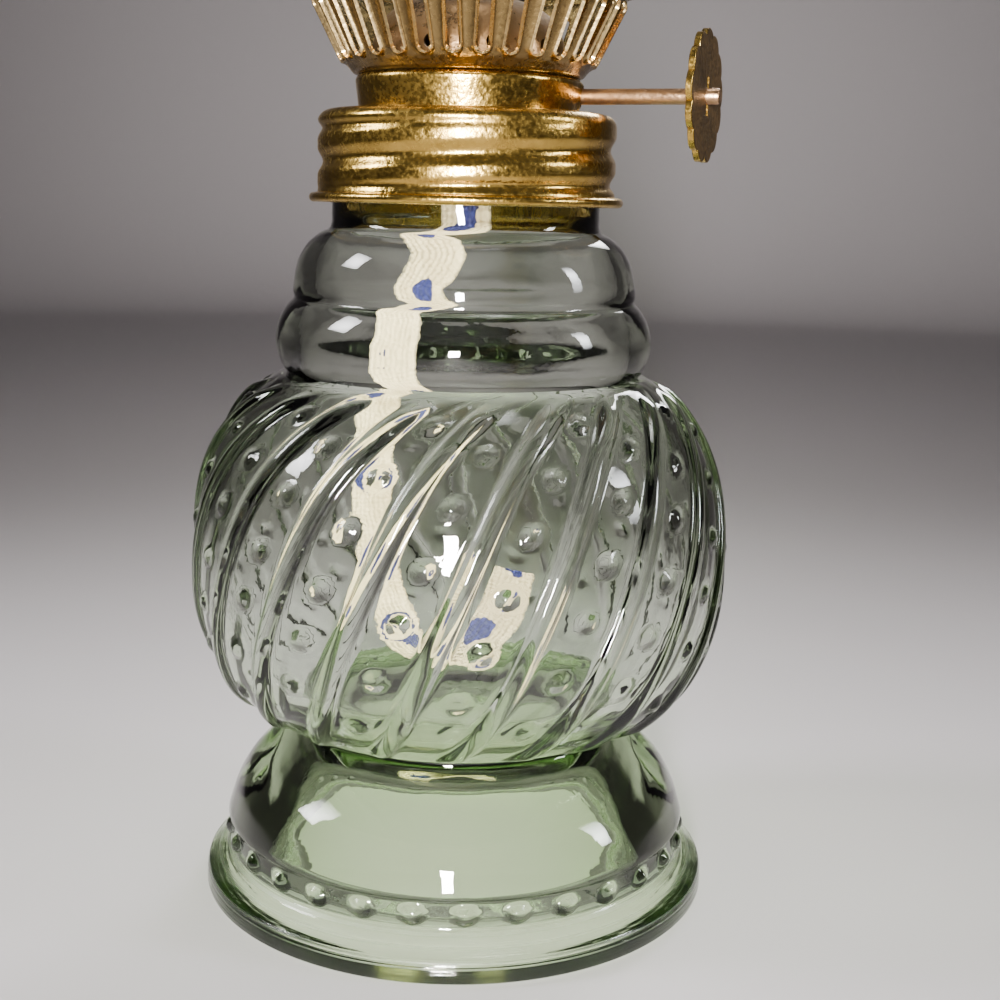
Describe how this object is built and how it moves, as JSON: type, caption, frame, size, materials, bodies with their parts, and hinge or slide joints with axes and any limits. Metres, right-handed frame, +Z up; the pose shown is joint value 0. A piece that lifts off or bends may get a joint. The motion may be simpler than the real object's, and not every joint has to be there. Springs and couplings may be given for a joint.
{
  "type": "oil lamp",
  "caption": "Miniature flat-wick oil lamp: glass font on a hollow foot, screw-on brass burner with slotted gallery, knob-driven wick and clear chimney.",
  "frame": {"origin": "centre of the foot's resting plane, on the lamp's axis", "axes": "+Z up along the lamp's axis, +X along the wick shaft towards its knob, which is on the lamp's right"},
  "size_m": [0.0654, 0.0654, 0.1965],
  "materials": {
    "green_glass": "pressed glass with a faint green tint, polished",
    "clear_glass": "thin clear blown glass",
    "brass": "polished plating, finely speckled with wear",
    "copper": "coppery plating, dull in the hollows",
    "steel": "plain plated sheet",
    "cork": "compressed cork",
    "cotton": "woven cotton tape with a few coloured stitches"
  },
  "bodies": {
    "font": {"font_glass": "green_glass"},
    "washer": {"neck_washer": "cork"},
    "burner": {"screw_cap": "brass", "base_cup": "brass", "burner_drum": "brass", "gallery_basket": "brass", "flame_deflector": "copper", "wick_tube": "brass", "wheel_housing": "steel"},
    "drive": {"wick_shaft": "copper", "wick_wheel_left": "steel", "wick_wheel_right": "steel", "wick_knob": "copper"},
    "wick": {"wick": "cotton"},
    "chimney": {"chimney_glass": "clear_glass"}
  },
  "joints": [
    {"name": "burner_rise", "type": "slide", "parent": "font", "child": "washer", "axis": [0, 0, 1], "range_m": [0, 0.00601]},
    {"name": "burner_turn", "type": "hinge", "parent": "washer", "child": "burner", "pos_m": [0, 0, 0.088], "axis": [0, 0, 1], "range_deg": [0, 540]},
    {"name": "knob_turn", "type": "hinge", "parent": "burner", "child": "drive", "pos_m": [0, 0.0036, 0.0955], "axis": [-1, 0, 0], "range_deg": [-65, 130]},
    {"name": "wick_slide", "type": "slide", "parent": "burner", "child": "wick", "axis": [0, 0, 1], "range_m": [-0.0028, 0.0056]},
    {"name": "chimney_lift", "type": "slide", "parent": "burner", "child": "chimney", "axis": [0, 0, 1], "range_m": [0, 0.045]}
  ],
  "couplings": [
    {"joint": "burner_rise", "follows": "burner_turn", "m_per_rad": 0.00063662},
    {"joint": "wick_slide", "follows": "knob_turn", "m_per_rad": 0.00245}
  ]
}
